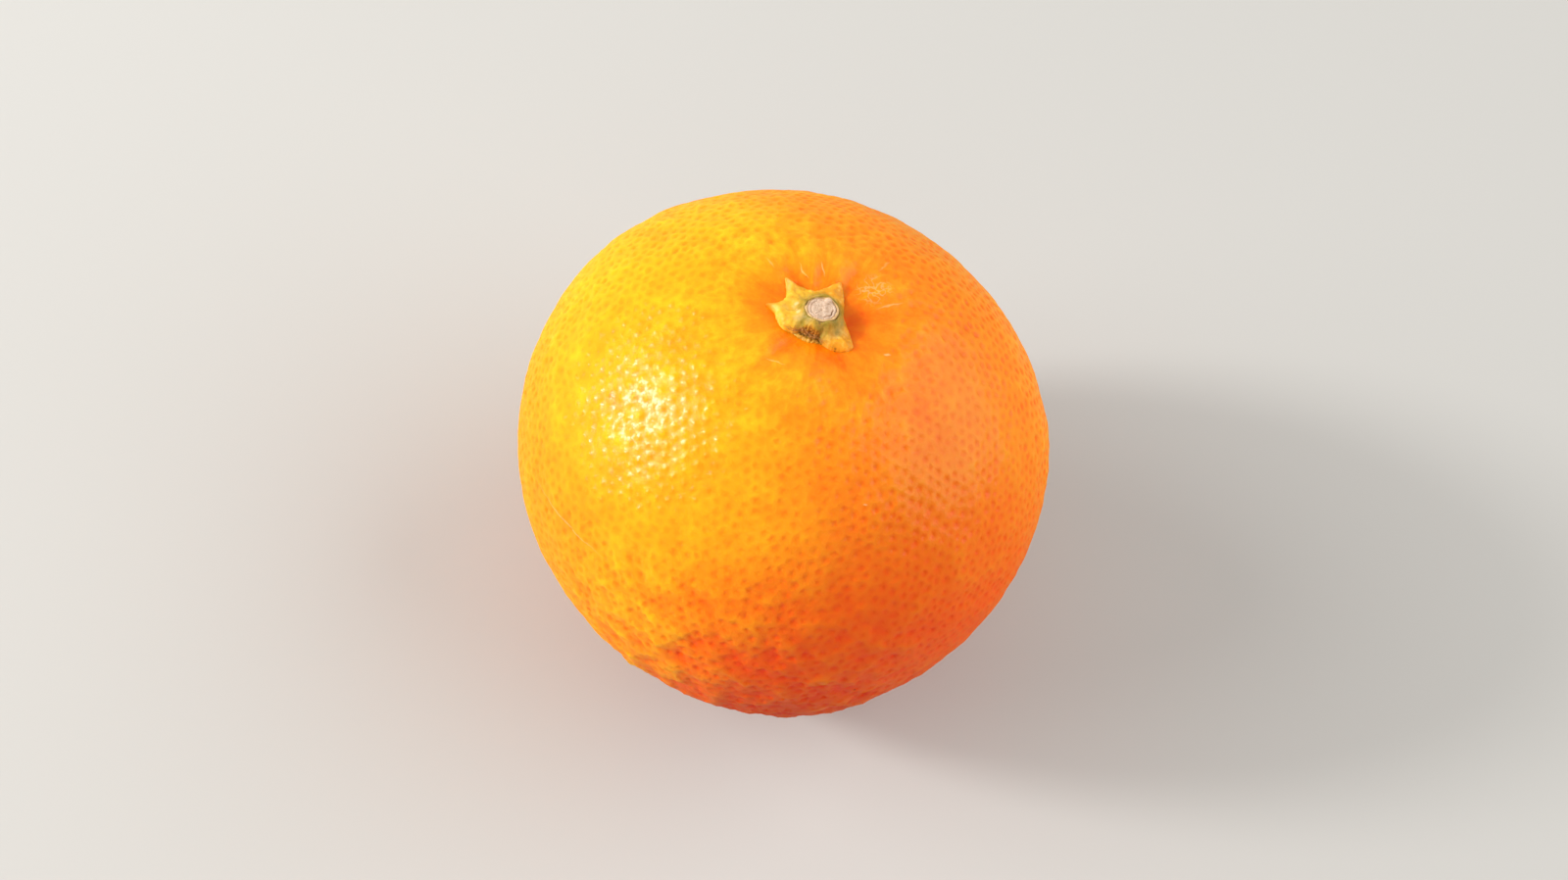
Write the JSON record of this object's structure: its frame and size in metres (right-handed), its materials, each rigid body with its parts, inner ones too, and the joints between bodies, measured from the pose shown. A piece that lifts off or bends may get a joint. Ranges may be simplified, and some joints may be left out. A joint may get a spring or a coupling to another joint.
{
  "type": "orange",
  "caption": "Whole round citrus fruit with pebbled skin, a star-shaped calyx and a cut stalk stub, standing on its blossom end.",
  "frame": {"origin": "centre of the small flat spot on the blossom end that the fruit rests on", "axes": "+Z along the core of the fruit, from the blossom end to the stem end; +X away from the tip of the calyx lobe that lies opposite its narrowest bay"},
  "size_m": [0.0763, 0.076, 0.0725],
  "materials": {
    "orange_peel": "satin",
    "dried_calyx": "matte",
    "cut_stalk": "matte"
  },
  "bodies": {
    "root": {"fruit": "orange_peel", "calyx": "dried_calyx", "stalk_stub": "cut_stalk"}
  },
  "joints": []
}
